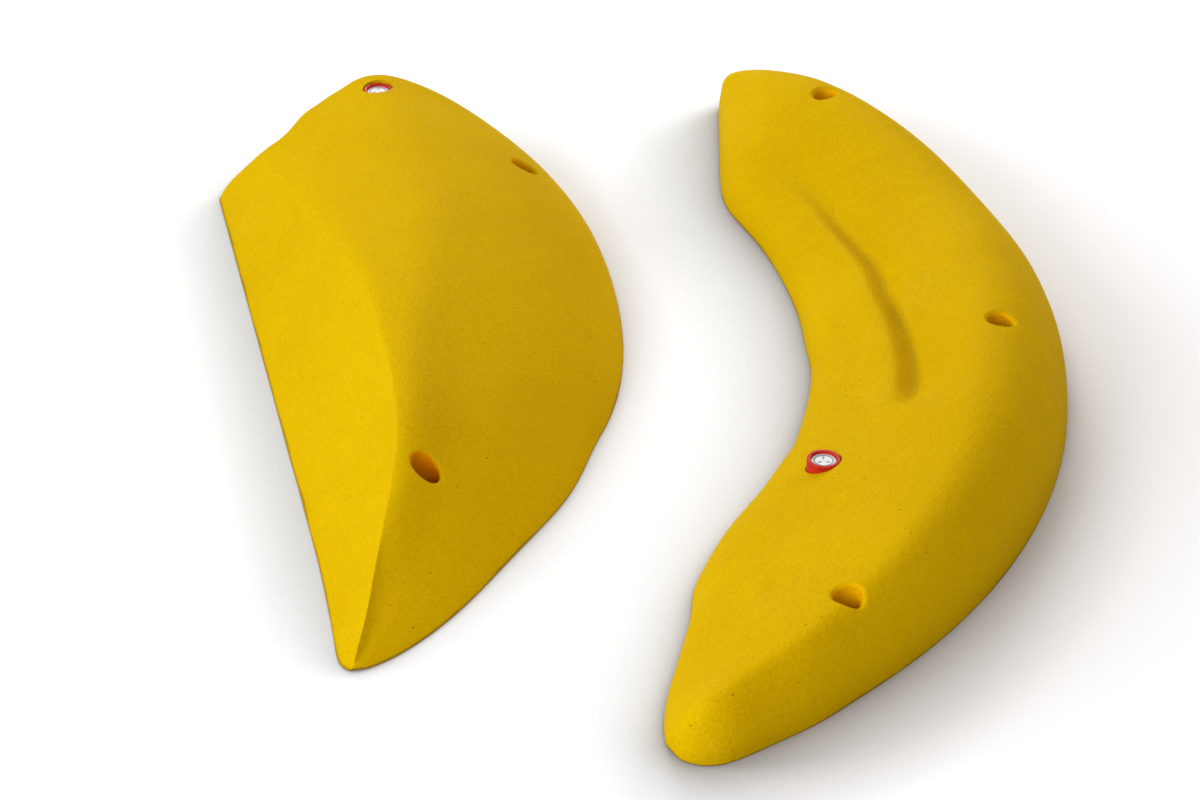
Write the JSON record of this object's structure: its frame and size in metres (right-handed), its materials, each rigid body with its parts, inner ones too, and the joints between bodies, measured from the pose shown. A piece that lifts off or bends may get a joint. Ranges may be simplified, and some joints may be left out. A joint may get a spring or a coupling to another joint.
{
  "type": "climbing hold set",
  "caption": "Half-moon and crescent bolt-on climbing holds in cast polyurethane, hollow behind, with steel-seated bolt wells and a small badge on each.",
  "frame": {"origin": "centre of the pair's bounding box, on the plane of the flat backs", "axes": "+Z out of the skin, away from the wall; +Y along the pair's longest extent; +X from the half-moon to the crescent"},
  "size_m": [0.6949, 0.9715, 0.089],
  "materials": {
    "polyurethane": "matt, fine sandy grain",
    "washer_steel": "zinc-plated steel",
    "badge_red": "gloss",
    "badge_white": "satin gloss"
  },
  "bodies": {
    "half_moon_hold": {"half_moon_casting": "polyurethane", "half_moon_washer_near": "washer_steel", "half_moon_washer_far": "washer_steel", "half_moon_badge_cup": "badge_red", "half_moon_badge_disc": "badge_white"},
    "crescent_hold": {"crescent_casting": "polyurethane", "crescent_washer_near": "washer_steel", "crescent_washer_mid": "washer_steel", "crescent_washer_far": "washer_steel", "crescent_badge_cup": "badge_red", "crescent_badge_disc": "badge_white"}
  },
  "joints": [
    {"name": "crescent_spacing", "type": "slide", "parent": "half_moon_hold", "child": "crescent_hold", "axis": [1, 0, 0], "range_m": [0, 0.25]}
  ]
}
